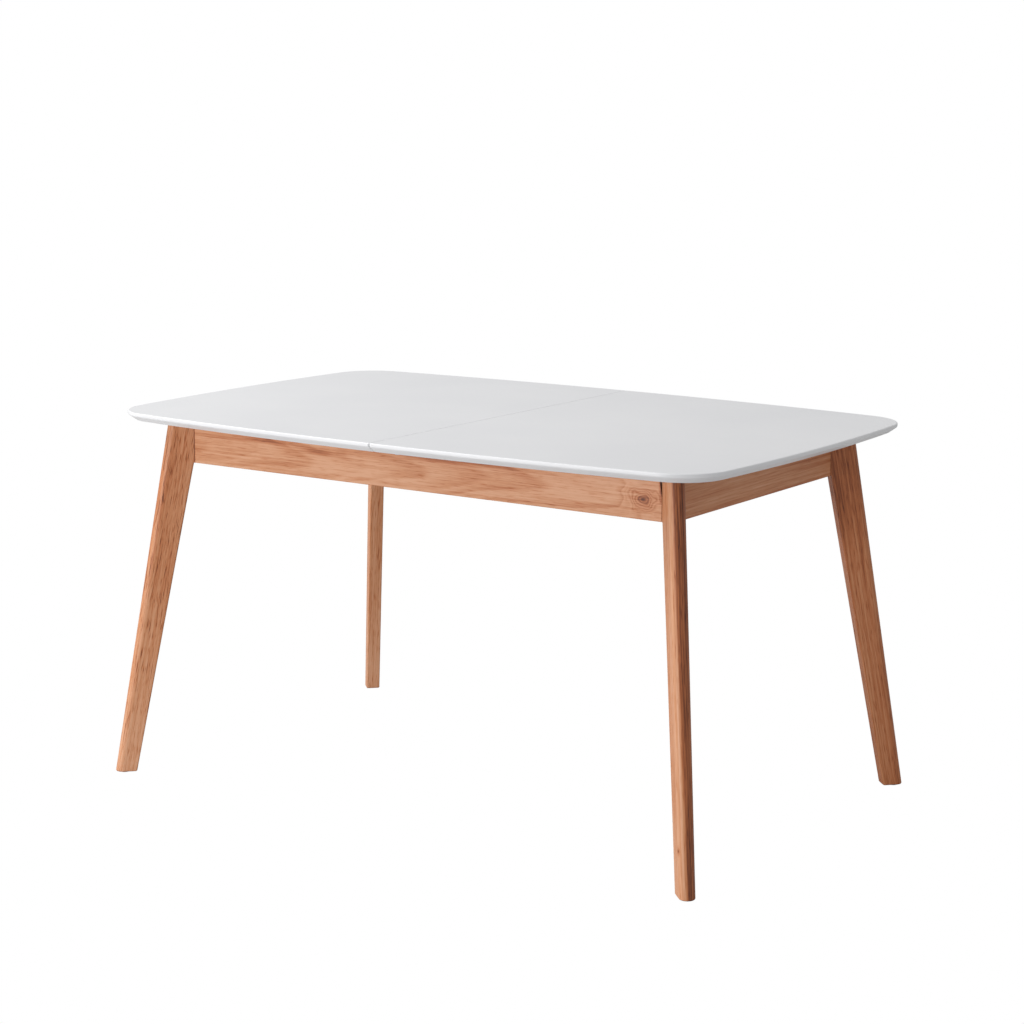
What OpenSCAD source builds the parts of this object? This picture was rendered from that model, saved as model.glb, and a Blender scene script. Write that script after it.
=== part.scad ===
// Extendable dining table. Two halves of a bowed, round-cornered top slide apart
// over a wooden frame on splayed legs. A folding leaf is stored in the well below.
// Millimetres. Origin on the floor under the middle of the top, X along the length.

/* [Table] */
// Length of the closed top
top_l = 1400; // [1360:10:1440]
// Width of the top at its middle
top_w = 900; // [890:5:920]
// Height of the top's upper face
table_h = 750; // [735:5:770]
// Thickness of the top
top_t = 18; // [17:0.5:19]

/* [Top outline] */
// Radius of the bow of the long sides
long_bow_r = 5900; // [5500:100:8000]
// Radius of the bow of the short sides
short_bow_r = 4100; // [3800:100:8000]
// Radius of the four corners
corner_r = 100; // [90:5:130]
// How far the bevel under the rim runs in
rim_bevel_in = 15; // [10:0.5:16]
// Height of the bevel above the underside
rim_bevel_h = 10.5; // [9:0.5:12]
// Radius of the rim's upper edge
rim_round = 2.5; // [1.5:0.5:4]
// Gap of the split between the two halves
split_gap = 0.5; // [0.3:0.1:1]

/* [Frame] */
// Length of the frame over the end aprons
frame_l = 1140; // [1130:2:1156]
// Width of the frame over the long aprons
frame_w = 635; // [630:1:656]
// Height of the aprons' lower edge above the floor
apron_z = 642.5; // [638:0.5:645]
// Thickness of the aprons
apron_t = 22; // [20:1:24]

/* [Legs] */
// Distance from the centre to the foot, along the leg's diagonal
foot_reach = 764; // [750:1:775]
// Distance from the centre to the leg at the aprons' lower edge, along the diagonal
knee_reach = 644.5; // [638:0.5:650]
// How much farther out the leg's axis lies in X than in Y
leg_line = 253.5; // [250:0.5:255]
// Depth of the leg at the foot, along the diagonal
foot_w = 43; // [38:1:50]
// Depth of the leg at the aprons' lower edge
knee_w = 63; // [60:1:68]
// Thickness of the leg at the foot
foot_t = 30; // [28:0.5:32]
// Thickness of the leg from the aprons' lower edge up
knee_t = 30.5; // [29:0.5:33]

/* [Extension] */
// Travel of each half of the top
travel = 200; // [180:10:200]
// Pitch radius of the synchronising pinion
pinion_r = 20; // [20]

/* [Hidden] */
$fn = 48;
eps = 0.01;

// Colours
wood_light = "#c98d62";
wood_pale = "#d9b48a";
white_lacquer = "#dcdcdd";
steel = "#b9bcc0";
steel_dark = "#6f7378";
plastic_dark = "#3a3c40";
plastic_pale = "#e4e2da";

// Levels
slab_z = table_h - top_t;              // underside of the top
frame_z = slab_z - 3;                  // upper edge of the aprons
glide_h = 1.5;                         // felt pad under a foot
batten_z = slab_z - 30;                // lower face of the battens
channel_z0 = batten_z - 7;             // runner channel, lowest
channel_z1 = channel_z0 + 30;          // runner channel, highest
board_z = apron_z + 4;                 // underside of the mechanism board
board_t = 12;
rack_z = board_z + board_t + 3.5;      // underside of the racks
rack_t = 7;

// Frame
fx = frame_l / 2;
fy = frame_w / 2;
ix = fx - apron_t;                     // inner face of an end apron
iy = fy - apron_t;                     // inner face of a long apron
joint_gap = 0.3;                       // glue line between an apron and a leg
side_shift = knee_t / sqrt(2) + joint_gap;
miss_z = frame_z - 40;                 // where the open joint at one corner starts
miss_angle = 6.5;                      // how far that joint opens towards the top

// Legs
block_reach = (iy * 2 + leg_line - side_shift) / sqrt(2);  // inner face of the leg's head
tip_slope = (foot_reach + foot_w / 2 - knee_reach - knee_w / 2) / (apron_z - glide_h);
block_in = 62;                         // how far the corner block's front face is further in
block_face = block_reach - block_in / sqrt(2);
block_z0 = apron_z + 6;
block_z1 = channel_z0 - 2;
bolt_r = 4;
bolt_levels = [block_z0 + 11, block_z0 + 34];
bolt_bite = 42;                        // thread length in the leg
bolt_tail = 12;                        // stud behind the corner block

// Runners
rail_y0 = iy - 13.5;                   // rail's web, inner face
rail_out = 10;                         // inner end of a rail from the split
rail_in = 300;                         // outer end of a rail from the split
channel_half = 400;
wall = 1.5;
batten_y0 = iy - 39;
batten_y1 = rail_y0;
ball_r = 2;
cage_l = 120;
cage_x = 190;                          // middle of a cage from the split, at rest
screw_xs = [40, 155, 270];             // screws through each batten
screw_sink = 18;                       // depth of their counterbores

// Leaf
leaf_l = 2 * travel;
fold_w = top_w / 4;                    // half the width of the folded leaf
fold_gap = 0.4;
pivot_z = slab_z - 6;
pivot_y = -fold_w / 2;
decor_z = 2 * pivot_z - table_h;       // where the two decor faces meet when stored
hinge_xs = [-140, 0, 140];
hinge_half = 25;                       // half the length of a hinge
hinge_r = 3;                           // radius of its knuckles
ear_pin = 2.5;                         // radius of the leaf's pivot pin
ear_x = 196;                           // where an ear stands on the leaf
pin_play = 0.06;                       // play of a turning pin in its hole
leaf_dowel_ys = [-70, 150];
cross_x0 = travel + 25;
cross_x1 = cross_x0 + 20;

// Dowels on the split
dowel_r = 4;
dowel_half = 20;
dowel_ys = [-330, -110, 110, 330];

// Gearing
gear_m = 2;
teeth = 2 * pinion_r / gear_m;
pressure = 20;
backlash = 0.3;
addendum = 0.8 * gear_m;
dedendum = 1.05 * gear_m;
pitch = PI * gear_m;
rack_back = pinion_r + 12;
rack_play = 0.3;                       // play of a rack in its guides
pinion_pin = 4;                        // radius of the bolt that the pinion turns on
guide_x = 120;                         // distance of the rack guides from the pinion

// Latches
latch_x = -22;
latch_reach = 40;
latch_y = 385;
latch_z = slab_z - 6;
latch_t = 2.5;
latch_slot = 3.6;                      // half width of the hook's slot
latch_pin = 2.5;                       // radius of the pivot

// ---- helpers ----

function arc(c, r, a0, a1, n) =
    [for (i = [0:n]) let (a = a0 + (a1 - a0) * i / n) c + r * [cos(a), sin(a)]];

// All but the first point, where a line carries on from another
function rest(points) = [for (i = [1:len(points) - 1]) points[i]];

// Corner circle's centre: it touches both bow circles from inside
function corner_centre() =
    let (c1 = [0, top_w / 2 - long_bow_r], c2 = [top_l / 2 - short_bow_r, 0],
         r1 = long_bow_r - corner_r, r2 = short_bow_r - corner_r,
         v = c2 - c1, l = norm(v), a = (r1 * r1 - r2 * r2 + l * l) / (2 * l),
         h = sqrt(r1 * r1 - a * a))
    c1 + a * v / l + h * [v[1], -v[0]] / l;

// Quarter of the top's outline, drawn in by d
function quarter(d) =
    let (c = corner_centre(), c1 = [0, top_w / 2 - long_bow_r], c2 = [top_l / 2 - short_bow_r, 0],
         a1 = atan2(c[1] - c1[1], c[0] - c1[0]), a2 = atan2(c[1] - c2[1], c[0] - c2[0]))
    concat(arc(c2, short_bow_r - d, 0, a2, 5), rest(arc(c, corner_r - d, a2, a1, 14)),
           rest(arc(c1, long_bow_r - d, a1, 90, 10)));

// Right half of the outline, from the split round the end and back
function half_outline(d) =
    let (q = quarter(d), n = len(q))
    concat([for (i = [0:n - 2]) [q[i][0], q[i][1]]],
           [[split_gap / 2, top_w / 2 - d], [split_gap / 2, -top_w / 2 + d]],
           [for (i = [n - 2:-1:1]) [q[i][0], -q[i][1]]]);

// Leg section: flat inner end at s0, fully rounded outer end at s1
function leg_section(s0, s1, t) =
    concat(arc([s1 - t / 2, 0], t / 2, -90, 90, 16),
           arc([s0 + 3, t / 2 - 3], 3, 90, 180, 3),
           arc([s0 + 3, 3 - t / 2], 3, 180, 270, 3));

function inv(a) = tan(a) * 180 / PI - a;
function flank_angle(r) =
    90 / teeth - backlash / 2 / pinion_r * 180 / PI + inv(pressure)
    - inv(acos(min(1, pinion_r * cos(pressure) / r)));

module along_x(x0, x1) {
    translate([x0, 0, 0]) rotate([90, 0, 90]) linear_extrude(x1 - x0) children();
}
module front_back() {
    children();
    mirror([0, 1, 0]) children();
}
module left_right() {
    children();
    mirror([1, 0, 0]) children();
}
module four_corners() {
    left_right() front_back() children();
}
// Places a child that is drawn along +X onto the diagonal of the back right leg
module on_diagonal() {
    translate([leg_line / 2, -leg_line / 2, 0]) rotate([0, 0, 45]) children();
}
module box(lo, hi) {
    translate(lo) cube(hi - lo);
}
// Closed skin through rings of equally many points, anticlockwise, lowest ring first
module loft(rings) {
    n = len(rings[0]);
    last = len(rings) - 1;
    sides = [for (k = [0:last - 1], i = [0:n - 1])
        let (a = k * n + i, b = k * n + (i + 1) % n)
        for (face = [[a, a + n, b + n], [a, b + n, b]]) face];
    floor_face = [for (i = [0:n - 1]) i];
    roof_face = [for (i = [n - 1:-1:0]) last * n + i];
    polyhedron([for (ring = rings) each ring], concat([floor_face], sides, [roof_face]));
}
// Countersunk wood screw along +Z, its head's face at the origin
module wood_screw(length, r = 2) {
    rotate_extrude() polygon([[0, 0], [2 * r, 0], [2 * r, 0.4], [r, 2.2],
                              [r, length - 4], [0.3, length], [0, length]]);
}

// ---- frame ----

module long_apron() {
    x_out = fy + leg_line - side_shift;
    x_in = iy + leg_line - side_shift;
    color(wood_light) translate([0, 0, apron_z]) linear_extrude(frame_z - apron_z)
        polygon([[-x_out, fy], [x_out, fy], [x_in, iy], [-x_in, iy]]);
}
module apron_back() {
    long_apron();
}
// The front apron's right end was cut a little short towards its upper edge
module apron_front() {
    x_out = fy + leg_line - side_shift;
    color(wood_light) difference() {
        mirror([0, 1, 0]) long_apron();
        translate([x_out, -fy, miss_z]) rotate([0, 0, 45]) rotate([0, -miss_angle, 0])
            translate([0, -80, 0]) cube([20, 160, 80]);
    }
}
module apron_right() {
    y_out = fx - leg_line - side_shift;
    y_in = ix - leg_line - side_shift;
    color(wood_light) translate([0, 0, apron_z]) linear_extrude(frame_z - apron_z)
        polygon([[fx, -y_out], [fx, y_out], [ix, y_in], [ix, -y_in]]);
}
module apron_left() {
    mirror([1, 0, 0]) apron_right();
}

// One slice of the leg at height z
module leg_slice(s0, s1, t, z) {
    translate([0, 0, z]) linear_extrude(eps) polygon(leg_section(s0, s1, t));
}
module leg() {
    foot0 = foot_reach - foot_w / 2;
    foot1 = foot_reach + foot_w / 2;
    knee1 = knee_reach + knee_w / 2;
    top1 = knee1 - tip_slope * (frame_z - apron_z);
    color(wood_light) on_diagonal() difference() {
        union() {
            hull() {
                leg_slice(foot0 + 2, foot1 - 2, foot_t - 4, glide_h);
                leg_slice(foot0, foot1, foot_t, glide_h + 4);
                leg_slice(knee_reach - knee_w / 2, knee1, knee_t, apron_z - eps);
            }
            hull() {
                leg_slice(block_reach, knee1, knee_t, apron_z - eps);
                leg_slice(block_reach, top1, knee_t, frame_z - eps);
            }
        }
        for (z = bolt_levels) translate([block_reach - 1, 0, z]) rotate([0, 90, 0])
            cylinder(r = bolt_r, h = bolt_bite + 1);
    }
}
module leg_back_right() {
    leg();
}
module leg_front_right() {
    mirror([0, 1, 0]) leg();
}
module leg_back_left() {
    mirror([1, 0, 0]) leg();
}
module leg_front_left() {
    mirror([1, 0, 0]) mirror([0, 1, 0]) leg();
}

// Brace across the corner, between the two aprons and behind the leg's head
module corner_block() {
    near = block_reach * sqrt(2);
    far = near - block_in;
    color(wood_pale) difference() {
        translate([0, 0, block_z0]) linear_extrude(block_z1 - block_z0)
            polygon([[near - iy, iy], [far - iy, iy], [ix, far - ix], [ix, near - ix]]);
        on_diagonal() for (z = bolt_levels) translate([block_reach - 70, 0, z]) rotate([0, 90, 0])
            cylinder(r = bolt_r + 0.4, h = 80);
    }
}
module corner_block_back_right() {
    corner_block();
}
module corner_block_front_right() {
    mirror([0, 1, 0]) corner_block();
}
module corner_block_back_left() {
    mirror([1, 0, 0]) corner_block();
}
module corner_block_front_left() {
    mirror([1, 0, 0]) mirror([0, 1, 0]) corner_block();
}

// Bolt hardware: it starts at the inner face of each corner block
module at_bolts(from) {
    four_corners() on_diagonal() for (z = bolt_levels)
        translate([from, 0, z]) rotate([0, 90, 0]) children();
}
module leg_bolts() {
    color(steel) at_bolts(block_face - bolt_tail)
        cylinder(r = bolt_r, h = bolt_tail + block_in / sqrt(2) + bolt_bite);
}
module leg_washers() {
    color(steel) at_bolts(block_face - 1.6) difference() {
        cylinder(r = 10, h = 1.6);
        translate([0, 0, -1]) cylinder(r = bolt_r + 0.3, h = 4);
    }
}
module leg_nuts() {
    color(steel) at_bolts(block_face - 8.1) difference() {
        cylinder(r = 7.5, h = 6.5, $fn = 6);
        translate([0, 0, -1]) cylinder(r = bolt_r, h = 9);
    }
}
// Screws of the corner blocks and of the runner channels
module frame_screws() {
    far = block_reach * sqrt(2) - block_in;
    color(steel) {
        four_corners() for (z = [block_z0 + 8, block_z1 - 8]) {
            translate([far - iy + 18, iy - 18, z]) rotate([-90, 0, 0]) wood_screw(34);
            translate([ix - 18, far - ix + 18, z]) rotate([0, 90, 0]) wood_screw(34);
        }
        four_corners() for (x = [60, 200, 380])
            translate([x, iy - wall, (channel_z0 + channel_z1) / 2]) rotate([-90, 0, 0])
                translate([0, 0, -1.1]) wood_screw(16, 1.6);
    }
}
module floor_glides() {
    color(plastic_pale) four_corners() on_diagonal() translate([foot_reach + 3, 0, 0])
        rotate_extrude() polygon([[0, 0], [10.5, 0], [11, 0.5], [11, glide_h], [0, glide_h]]);
}
// Pads on the end aprons that the sliding halves run over
module top_glides() {
    color(plastic_pale) four_corners()
        box([ix + 4, 120, frame_z], [fx - 4, 180, slab_z - 0.2]);
}

// ---- leaf carrier and synchroniser ----

module cross_rail_right() {
    color(wood_pale) difference() {
        box([cross_x0, -iy, apron_z + 4], [cross_x1, iy, apron_z + 38]);
        box([cross_x0 - 1, -rack_back - 4, rack_z - 1.5], [cross_x1 + 1, -pinion_r + 4, table_h]);
    }
}
module cross_rail_left() {
    rotate([0, 0, 180]) cross_rail_right();
}
module mechanism_board() {
    color(wood_pale) difference() {
        box([-cross_x0, -48, board_z], [cross_x0, 48, board_z + board_t]);
        translate([0, 0, board_z - 1]) cylinder(r = pinion_pin, h = board_t + 2);
    }
}
// Frames that hold both racks against the pinion
module rack_guides() {
    z0 = board_z + board_t;
    color(plastic_pale) for (x = [-guide_x, guide_x]) difference() {
        box([x - 12, -rack_back - 9, z0], [x + 12, rack_back + 9, rack_z + rack_t + 4]);
        box([x - 13, -rack_back - rack_play, rack_z - rack_play],
            [x + 13, rack_back + rack_play, rack_z + rack_t + rack_play]);
    }
}
module pinion_bolt() {
    head_z = rack_z + rack_t + 0.6;
    color(steel) rotate_extrude() polygon([[0, board_z - 3], [pinion_pin, board_z - 3],
                                           [pinion_pin, head_z],
                                           [7.5, head_z], [7.5, head_z + 2], [6.5, head_z + 3],
                                           [0, head_z + 3]]);
}
module pinion() {
    root_r = pinion_r - dedendum;
    tip_r = pinion_r + addendum;
    base_r = pinion_r * cos(pressure);
    rs = [for (i = [0:4]) base_r + (tip_r - base_r) * i / 4];
    tooth = concat(
        [root_r * [cos(flank_angle(base_r)), -sin(flank_angle(base_r))]],
        [for (r = rs) r * [cos(flank_angle(r)), -sin(flank_angle(r))]],
        [for (i = [4:-1:0]) rs[i] * [cos(flank_angle(rs[i])), sin(flank_angle(rs[i]))]],
        [root_r * [cos(flank_angle(base_r)), sin(flank_angle(base_r))]]);
    outline = [for (k = [0:teeth - 1]) let (a = 90 + 360 * k / teeth)
        for (p = tooth) [p[0] * cos(a) - p[1] * sin(a), p[0] * sin(a) + p[1] * cos(a)]];
    color(plastic_dark) difference() {
        union() {
            translate([0, 0, rack_z]) linear_extrude(rack_t) polygon(outline);
            translate([0, 0, board_z + board_t + 0.3]) cylinder(r = 9, h = 4);
        }
        translate([0, 0, board_z]) cylinder(r = pinion_pin + pin_play, h = 40);
    }
}
// Toothed bar of the left half: teeth face the pinion, a gap is centred on it
module rack_bar() {
    n_in = 5;
    n_out = ceil((travel + 10) / pitch);
    root_y = pinion_r + dedendum;
    tip_y = pinion_r - addendum;
    half = pitch / 4 - backlash / 2;
    tip_half = half - addendum * tan(pressure);
    root_half = half + dedendum * tan(pressure);
    saw = [for (i = [-n_in:n_out - 1]) let (x = (i + 0.5) * pitch)
        for (p = [[x - root_half, root_y], [x - tip_half, tip_y],
                  [x + tip_half, tip_y], [x + root_half, root_y]]) p];
    color(steel) translate([0, 0, rack_z]) linear_extrude(rack_t)
        polygon(concat([[-travel - 80, root_y]], saw,
                       [[travel + 15, root_y], [travel + 15, rack_back], [-travel - 80, rack_back]]));
}
module rack_left() {
    rack_bar();
}
module rack_right() {
    rotate([0, 0, 180]) rack_bar();
}
// Z-shaped steel strip from the underside of the left half down to its rack
module rack_bracket() {
    x0 = -travel - 83;
    color(steel_dark) translate([0, rack_back - 1, 0]) rotate([90, 0, 0]) linear_extrude(18)
        polygon([[x0 - 26, slab_z], [x0 - 26, slab_z - 2.5], [x0, slab_z - 2.5],
                 [x0, rack_z - 2.5], [x0 + 24, rack_z - 2.5], [x0 + 24, rack_z],
                 [x0 + 3, rack_z], [x0 + 3, slab_z]]);
}
module rack_bracket_left() {
    rack_bracket();
}
module rack_bracket_right() {
    rotate([0, 0, 180]) rack_bracket();
}

// ---- runners ----

// Rolled steel channel on the back apron, open towards the middle
module channel_back() {
    y0 = iy - 13;
    color(steel) along_x(-channel_half, channel_half)
        polygon([[y0, channel_z0], [iy, channel_z0], [iy, channel_z1], [y0, channel_z1],
                 [y0, channel_z1 - wall], [iy - wall, channel_z1 - wall],
                 [iy - wall, channel_z0 + wall], [y0, channel_z0 + wall]]);
}
module channel_front() {
    mirror([0, 1, 0]) channel_back();
}
// Inner rail of one half, a smaller channel inside the outer one
module rail_right_back() {
    z0 = channel_z0 + wall + 2 * ball_r + 0.7;
    z1 = channel_z1 - wall - 2 * ball_r - 0.7;
    y1 = rail_y0 + 8;
    color(steel) along_x(rail_out, rail_in)
        polygon([[rail_y0, z0], [y1, z0], [y1, z0 + wall], [rail_y0 + wall, z0 + wall],
                 [rail_y0 + wall, z1 - wall], [y1, z1 - wall], [y1, z1], [rail_y0, z1]]);
}
module rail_right_front() {
    mirror([0, 1, 0]) rail_right_back();
}
module rail_left_back() {
    mirror([1, 0, 0]) rail_right_back();
}
module rail_left_front() {
    mirror([1, 0, 0]) mirror([0, 1, 0]) rail_right_back();
}
// Ball cage: a thin strip with balls above and below the inner rail
module ball_cage() {
    t = 0.8;
    low = channel_z0 + wall + ball_r + 0.35;
    high = channel_z1 - wall - ball_r - 0.35;
    ball_y = rail_y0 + 5;
    web_y = rail_y0 + 9;
    x0 = cage_x - cage_l / 2;
    balls = [for (i = [0:5]) x0 + 10 + 20 * i];
    color(steel_dark) difference() {
        union() {
            box([x0, web_y, low - t / 2], [x0 + cage_l, web_y + t, high + t / 2]);
            for (z = [low, high])
                box([x0, rail_y0 + 1.5, z - t / 2], [x0 + cage_l, web_y + eps, z + t / 2]);
        }
        for (x = balls, z = [low, high]) translate([x, ball_y, z - 1]) cylinder(r = ball_r + 0.15, h = 2);
    }
    color(steel) for (x = balls, z = [low, high]) translate([x, ball_y, z]) sphere(r = ball_r);
}
module ball_cage_right_back() {
    ball_cage();
}
module ball_cage_right_front() {
    mirror([0, 1, 0]) ball_cage();
}
module ball_cage_left_back() {
    mirror([1, 0, 0]) ball_cage();
}
module ball_cage_left_front() {
    mirror([1, 0, 0]) mirror([0, 1, 0]) ball_cage();
}

// ---- sliding halves ----

module batten_right_back() {
    color(wood_pale) difference() {
        box([rail_out, batten_y0, batten_z], [rail_in, batten_y1, slab_z]);
        for (x = screw_xs) translate([x, batten_y0 + 12, batten_z - 1])
            cylinder(r = 4.5, h = screw_sink + 1);
    }
}
module batten_right_front() {
    mirror([0, 1, 0]) batten_right_back();
}
module batten_left_back() {
    mirror([1, 0, 0]) batten_right_back();
}
module batten_left_front() {
    mirror([1, 0, 0]) mirror([0, 1, 0]) batten_right_back();
}
// Screws of the right half: battens to top, rails to battens, rack bracket to top
module screws_right() {
    color(steel) {
        front_back() {
            for (x = screw_xs) translate([x, batten_y0 + 12, batten_z + screw_sink]) wood_screw(22);
            for (x = [70, 240]) translate([x, rail_y0 + wall + 2, channel_z0 + 15])
                rotate([90, 0, 0]) wood_screw(22, 1.8);
        }
        for (y = [-1, 1]) translate([travel + 97, -rack_back + 10 + 5 * y, slab_z - 4.5])
            wood_screw(14, 1.5);
    }
}
module screws_left() {
    rotate([0, 0, 180]) screws_right();
}

// Half of the top: a long bevel under the rim, a blunt nose and a rounded upper edge
module top_half() {
    nose = 1.5;                        // rounding between the bevel and the nose
    slope = rim_bevel_in / rim_bevel_h;
    rim = concat([[0, rim_bevel_in], [rim_bevel_h - nose, nose * slope + 0.3], [rim_bevel_h, 0.5],
                  [rim_bevel_h + nose, 0]],
                 [for (a = [0:30:90]) [top_t - rim_round * (1 - sin(a)), rim_round * (1 - cos(a))]]);
    loft([for (r = rim) [for (p = half_outline(r[1])) [p[0], p[1], slab_z + r[0]]]]);
}
module top_right() {
    color(white_lacquer) difference() {
        top_half();
        for (y = dowel_ys) translate([-1, y, table_h - top_t / 2]) rotate([0, 90, 0])
            cylinder(r = dowel_r + 0.2, h = dowel_half + 2);
    }
}
module top_left() {
    color(white_lacquer) difference() {
        mirror([1, 0, 0]) top_half();
        for (y = dowel_ys) translate([-dowel_half, y, table_h - top_t / 2]) rotate([0, 90, 0])
            cylinder(r = dowel_r, h = dowel_half + 2);
    }
}
module dowel() {
    rotate([0, 90, 0]) rotate_extrude()
        polygon([[0, -dowel_half], [dowel_r - 0.8, -dowel_half], [dowel_r, 0.8 - dowel_half],
                 [dowel_r, dowel_half - 2], [dowel_r - 1.5, dowel_half], [0, dowel_half]]);
}
module top_dowels() {
    color(wood_pale) for (y = dowel_ys) translate([0, y, table_h - top_t / 2]) dowel();
}

// ---- latches under the split ----

module latch_hook_front() {
    slot = concat(arc([0, 0], latch_reach - latch_slot, -30, 0, 8),
                  rest(arc([latch_reach, 0], latch_slot, 180, 0, 12)),
                  rest(arc([0, 0], latch_reach + latch_slot, 0, -30, 8)));
    color(steel) translate([latch_x, -latch_y, latch_z]) rotate([0, 0, 90]) linear_extrude(latch_t)
        difference() {
            union() {
                circle(r = 11);
                translate([0, -9]) square([latch_reach, 20]);
                translate([latch_reach, 1]) circle(r = 12);
                translate([18, 10]) square([22, 9]);
            }
            circle(r = latch_pin + pin_play);
            polygon(slot);
        }
}
module latch_hook_back() {
    mirror([0, 1, 0]) latch_hook_front();
}
module latch_pivots() {
    color(steel) front_back() translate([latch_x, -latch_y, 0]) rotate_extrude()
        polygon([[0, latch_z - 3.3], [5, latch_z - 3.3], [6, latch_z - 2], [6, latch_z - 0.3],
                 [latch_pin, latch_z - 0.3], [latch_pin, latch_z + latch_t + 0.3],
                 [7, latch_z + latch_t + 0.3], [7, slab_z], [latch_pin, slab_z],
                 [latch_pin, slab_z + 8], [0, slab_z + 9]]);
}
module latch_strikes() {
    color(steel) front_back() translate([latch_x + latch_reach, -latch_y, 0]) rotate_extrude()
        polygon([[0, latch_z - 4], [5, latch_z - 4], [5.5, latch_z - 3], [5.5, latch_z - 1],
                 [3, latch_z - 1], [3, slab_z - 2], [8, slab_z - 1.2], [8, slab_z], [2.5, slab_z],
                 [2.5, slab_z + 8], [0, slab_z + 9]]);
}

// ---- folding leaf, stored ----

// One half of the leaf, its decor face at z = 0 and its body above
module leaf_half() {
    difference() {
        box([-leaf_l / 2 + split_gap / 2, -fold_w, fold_gap / 2],
            [leaf_l / 2 - split_gap / 2, fold_w, top_t]);
        for (y = leaf_dowel_ys) {
            translate([leaf_l / 2 - dowel_half, y, top_t / 2]) rotate([0, 90, 0])
                cylinder(r = dowel_r, h = 40);
            translate([-leaf_l / 2 - 1, y, top_t / 2]) rotate([0, 90, 0])
                cylinder(r = dowel_r + 0.2, h = dowel_half + 2);
        }
        for (x = hinge_xs) {
            translate([x - hinge_half - 1, -fold_w, 0]) rotate([0, 90, 0])
                cylinder(r = hinge_r + 0.4, h = 2 * hinge_half + 2);
            box([x - hinge_half - 1, -fold_w - 1, -1],
                [x + hinge_half + 1, -fold_w + 1.6, top_t - 2]);
        }
    }
}
module leaf_panel_a() {
    color(white_lacquer) translate([0, 0, decor_z]) leaf_half();
}
module leaf_panel_b() {
    color(white_lacquer) translate([0, 0, decor_z]) mirror([0, 0, 1]) leaf_half();
}
module leaf_dowels() {
    color(wood_pale) for (y = leaf_dowel_ys, side = [-1, 1])
        translate([leaf_l / 2, y, decor_z + side * top_t / 2]) dowel();
}
// Butt hinges let into the edges where the two panels fold
module leaf_hinges() {
    color(steel) for (x = hinge_xs) translate([x, -fold_w, decor_z]) {
        for (side = [-1, 1]) difference() {
            union() {
                box([-hinge_half, 0.1, min(side, side * 13)], [hinge_half, 1.5, max(side, side * 13)]);
                for (k = [-2:2]) if ((k % 2 == 0) == (side > 0))
                    translate([10 * k - 4.9, 0, 0]) rotate([0, 90, 0]) cylinder(r = hinge_r, h = 9.8);
            }
            rotate([0, 90, 0]) translate([0, 0, -30]) cylinder(r = 1.55, h = 60);
            for (k = [-2:2]) if ((k % 2 == 0) != (side > 0))
                translate([10 * k - 5.1, 0, 0]) rotate([0, 90, 0]) cylinder(r = hinge_r + 0.25, h = 10.2);
        }
        translate([-hinge_half, 0, 0]) rotate([0, 90, 0]) cylinder(r = 1.5, h = 2 * hinge_half);
    }
}
// Ears on the stored leaf's upper face, each with its riveted pivot pin
module leaf_pivot_ears() {
    z0 = decor_z + top_t;
    color(steel_dark) left_right() translate([0, pivot_y, 0]) {
        box([150, -14, z0], [ear_x + 3, 14, z0 + 2]);
        box([ear_x, -8, z0], [ear_x + 3, 8, pivot_z]);
        translate([ear_x, 0, pivot_z]) rotate([0, 90, 0]) {
            cylinder(r = 4.5, h = 3);
            cylinder(r = ear_pin, h = 15);
        }
    }
}
module leaf_pivot_brackets() {
    z0 = apron_z + 38;
    x0 = travel + 5;
    color(steel_dark) left_right() translate([0, pivot_y, 0]) difference() {
        union() {
            box([x0, -14, z0], [cross_x1, 14, z0 + 3]);
            box([x0, -8, z0], [x0 + 3, 8, pivot_z - 2]);
            translate([x0, 0, pivot_z]) rotate([0, 90, 0]) cylinder(r = 5, h = 3);
            box([x0, -5, pivot_z - 6], [x0 + 3, 5, pivot_z]);
        }
        translate([x0 - 1, 0, pivot_z]) rotate([0, 90, 0]) cylinder(r = ear_pin + pin_play, h = 6);
    }
}
module rest_rails() {
    color(wood_pale) front_back()
        box([-cross_x0, 140, apron_z + 16], [cross_x0, 160, decor_z - top_t - 3]);
}
module leaf_rest_pads() {
    color(plastic_dark) four_corners()
        box([120, 141, decor_z - top_t - 3], [150, 159, decor_z - top_t]);
}

apron_front();
apron_back();
apron_left();
apron_right();
leg_front_left();
leg_front_right();
leg_back_left();
leg_back_right();
corner_block_front_left();
corner_block_front_right();
corner_block_back_left();
corner_block_back_right();
leg_bolts();
leg_washers();
leg_nuts();
frame_screws();
floor_glides();
top_glides();
cross_rail_left();
cross_rail_right();
mechanism_board();
rack_guides();
pinion_bolt();
channel_front();
channel_back();
rest_rails();
leaf_rest_pads();
leaf_panel_a();
leaf_panel_b();
leaf_dowels();
leaf_hinges();
leaf_pivot_ears();
leaf_pivot_brackets();
top_left();
batten_left_front();
batten_left_back();
rail_left_front();
rail_left_back();
rack_left();
rack_bracket_left();
screws_left();
top_dowels();
latch_pivots();
top_right();
batten_right_front();
batten_right_back();
rail_right_front();
rail_right_back();
rack_right();
rack_bracket_right();
screws_right();
latch_strikes();
ball_cage_left_front();
ball_cage_left_back();
ball_cage_right_front();
ball_cage_right_back();
pinion();
latch_hook_front();
latch_hook_back();
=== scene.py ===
"""Looks of the extendable dining table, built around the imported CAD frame. Lengths are in metres."""

import math

import bmesh
import bpy
from mathutils import Matrix, Vector


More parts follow.
